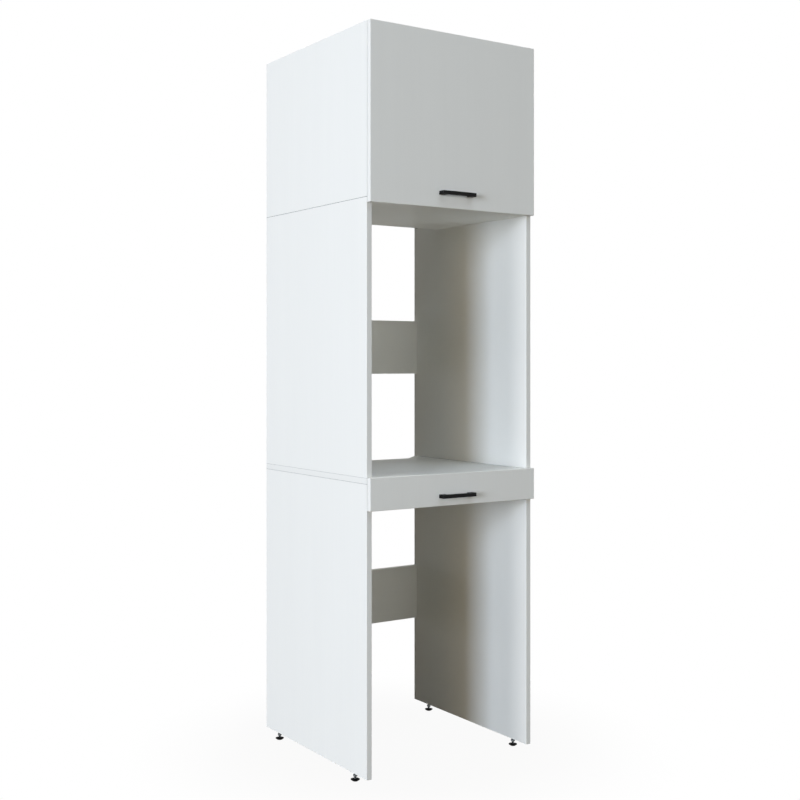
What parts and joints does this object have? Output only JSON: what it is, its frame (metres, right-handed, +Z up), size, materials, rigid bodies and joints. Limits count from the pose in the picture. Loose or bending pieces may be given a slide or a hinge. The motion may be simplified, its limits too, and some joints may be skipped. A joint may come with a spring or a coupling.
{
  "type": "washer and dryer cabinet",
  "caption": "Tall white tower with open bays for a washing machine and a tumble dryer, a shallow drawer under the shelf between them and a top cabinet with a lift-up flap.",
  "frame": {"origin": "on the floor under the centre of the tower's bounding box", "axes": "+Z up, front faces -Y, +X to the right seen from the front"},
  "size_m": [0.665, 0.7142, 2.376],
  "materials": {
    "white_board": "satin",
    "white_front": "satin",
    "drawer_board": "satin",
    "white_hardboard": "matte",
    "black_handle": "satin",
    "zinc_screw": "satin",
    "beech": "matte",
    "black_plastic": "matte",
    "zinc_steel": "satin",
    "zinc_cast": "matte",
    "nickel_steel": "satin",
    "grey_tube": "satin",
    "chrome_rod": "polished",
    "clear_pad": "satin"
  },
  "bodies": {
    "carcass": {"bumper_pads": "clear_pad", "cabinet_back": "white_hardboard", "cabinet_floor": "white_board", "cabinet_top": "white_board", "cam_bolts": "zinc_cast", "cam_locks": "zinc_cast", "dowels": "beech", "foot_inserts": "zinc_steel", "hinge_arm_left": "nickel_steel", "hinge_arm_right": "nickel_steel", "hinge_plate_left": "nickel_steel", "hinge_plate_right": "nickel_steel", "lower_rail": "white_board", "lower_side_left": "white_board", "lower_side_right": "white_board", "middle_rail": "white_board", "middle_side_left": "white_board", "middle_side_right": "white_board", "runner_cabinet_left": "zinc_steel", "runner_cabinet_right": "zinc_steel", "shelf": "white_board", "shelf_screws": "zinc_screw", "strut_side_bracket_left": "nickel_steel", "strut_side_bracket_right": "nickel_steel", "top_side_left": "white_board", "top_side_right": "white_board"},
    "flap": {"flap_door": "white_front", "flap_handle": "black_handle", "flap_handle_screws": "zinc_screw", "hinge_cup_left": "nickel_steel", "hinge_cup_right": "nickel_steel", "hinge_pin_left": "nickel_steel", "hinge_pin_right": "nickel_steel", "strut_flap_bracket_left": "nickel_steel", "strut_flap_bracket_right": "nickel_steel"},
    "drawer": {"drawer_back": "drawer_board", "drawer_bottom": "white_hardboard", "drawer_box_front": "drawer_board", "drawer_front": "white_front", "drawer_handle": "black_handle", "drawer_handle_screws": "zinc_screw", "drawer_side_left": "drawer_board", "drawer_side_right": "drawer_board", "runner_drawer_left": "zinc_steel", "runner_drawer_right": "zinc_steel"},
    "strut_tube_left": {"strut_tube_left": "grey_tube"},
    "strut_rod_left": {"strut_rod_left": "chrome_rod"},
    "runner_middle_left": {"runner_middle_left": "zinc_steel"},
    "foot_front_left": {"foot_base_front_left": "black_plastic", "foot_stem_front_left": "zinc_steel"},
    "foot_back_left": {"foot_base_back_left": "black_plastic", "foot_stem_back_left": "zinc_steel"},
    "strut_tube_right": {"strut_tube_right": "grey_tube"},
    "strut_rod_right": {"strut_rod_right": "chrome_rod"},
    "runner_middle_right": {"runner_middle_right": "zinc_steel"},
    "foot_front_right": {"foot_base_front_right": "black_plastic", "foot_stem_front_right": "zinc_steel"},
    "foot_back_right": {"foot_base_back_right": "black_plastic", "foot_stem_back_right": "zinc_steel"}
  },
  "joints": [
    {"name": "flap_lift", "type": "hinge", "parent": "carcass", "child": "flap", "pos_m": [0, -0.32405, 2.3697], "axis": [-1, 0, 0], "range_deg": [0, 90]},
    {"name": "drawer_slide", "type": "slide", "parent": "carcass", "child": "drawer", "axis": [0, -1, 0], "range_m": [0, 0.45]},
    {"name": "strut_left_tilt", "type": "hinge", "parent": "carcass", "child": "strut_tube_left", "pos_m": [-0.299, -0.20455, 2.106], "axis": [1, 0, 0], "range_deg": [0, 14.35]},
    {"name": "strut_left_stroke", "type": "slide", "parent": "strut_tube_left", "child": "strut_rod_left", "axis": [0, -0.3966, 0.918], "range_m": [0, 0.0717]},
    {"name": "runner_left_slide", "type": "slide", "parent": "carcass", "child": "runner_middle_left", "axis": [0, -1, 0], "range_m": [0, 0.226]},
    {"name": "foot_front_left_turn", "type": "hinge", "parent": "carcass", "child": "foot_front_left", "pos_m": [-0.318, -0.22995, 0.02], "axis": [0, 0, 1], "continuous": true},
    {"name": "foot_back_left_turn", "type": "hinge", "parent": "carcass", "child": "foot_back_left", "pos_m": [-0.318, 0.27405, 0.02], "axis": [0, 0, 1], "continuous": true},
    {"name": "strut_right_tilt", "type": "hinge", "parent": "carcass", "child": "strut_tube_right", "pos_m": [0.299, -0.20455, 2.106], "axis": [1, 0, 0], "range_deg": [0, 14.35]},
    {"name": "strut_right_stroke", "type": "slide", "parent": "strut_tube_right", "child": "strut_rod_right", "axis": [0, -0.3966, 0.918], "range_m": [0, 0.0717]},
    {"name": "runner_right_slide", "type": "slide", "parent": "carcass", "child": "runner_middle_right", "axis": [0, -1, 0], "range_m": [0, 0.226]},
    {"name": "foot_front_right_turn", "type": "hinge", "parent": "carcass", "child": "foot_front_right", "pos_m": [0.318, -0.22995, 0.02], "axis": [0, 0, 1], "continuous": true},
    {"name": "foot_back_right_turn", "type": "hinge", "parent": "carcass", "child": "foot_back_right", "pos_m": [0.318, 0.27405, 0.02], "axis": [0, 0, 1], "continuous": true}
  ],
  "couplings": [
    {"joint": "strut_left_tilt", "follows": "flap_lift", "ratio": 0.15934},
    {"joint": "strut_left_stroke", "follows": "flap_lift", "m_per_rad": 0.045579},
    {"joint": "runner_left_slide", "follows": "drawer_slide", "ratio": 0.5},
    {"joint": "strut_right_tilt", "follows": "flap_lift", "ratio": 0.15934},
    {"joint": "strut_right_stroke", "follows": "flap_lift", "m_per_rad": 0.045579},
    {"joint": "runner_right_slide", "follows": "drawer_slide", "ratio": 0.5}
  ]
}
